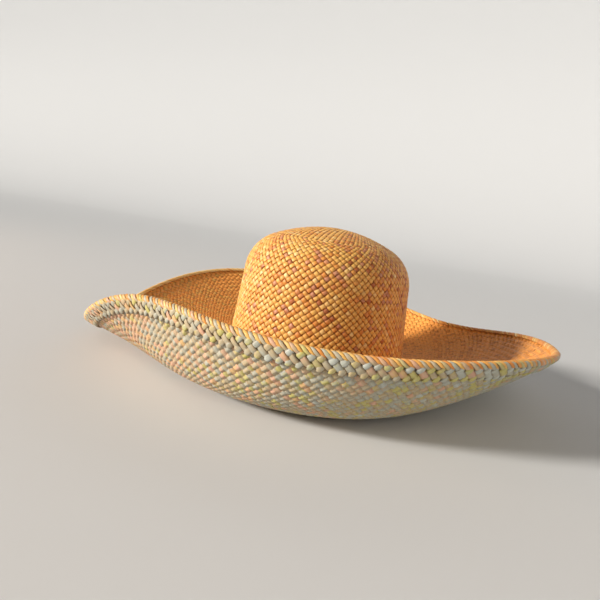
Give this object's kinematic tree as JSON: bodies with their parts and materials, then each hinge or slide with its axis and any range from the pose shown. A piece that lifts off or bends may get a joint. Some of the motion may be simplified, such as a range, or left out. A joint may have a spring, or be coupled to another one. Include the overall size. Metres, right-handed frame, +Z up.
{
  "type": "wide-brim woven straw hat",
  "caption": "Oval-crowned hat of plaited straw with a wide brim turned up at front and back and a folded, plaited border under the lip.",
  "frame": {"origin": "middle of the hat's outline seen from above, on the surface that it rests on", "axes": "+Z up through the crown, front at -Y, the wearer's left at +X"},
  "size_m": [0.4188, 0.4118, 0.133],
  "materials": {
    "crown_straw": "orange-tan plaited straw with golden, mauve and rust strands, low sheen",
    "brim_straw": "orange-tan plaited straw above, muted grey-tan plaited straw below",
    "fold_straw": "double layer of muted tan strands with yellow-green knuckles"
  },
  "bodies": {
    "root": {"crown": "crown_straw", "brim": "brim_straw", "edge_fold": "fold_straw"}
  },
  "joints": []
}
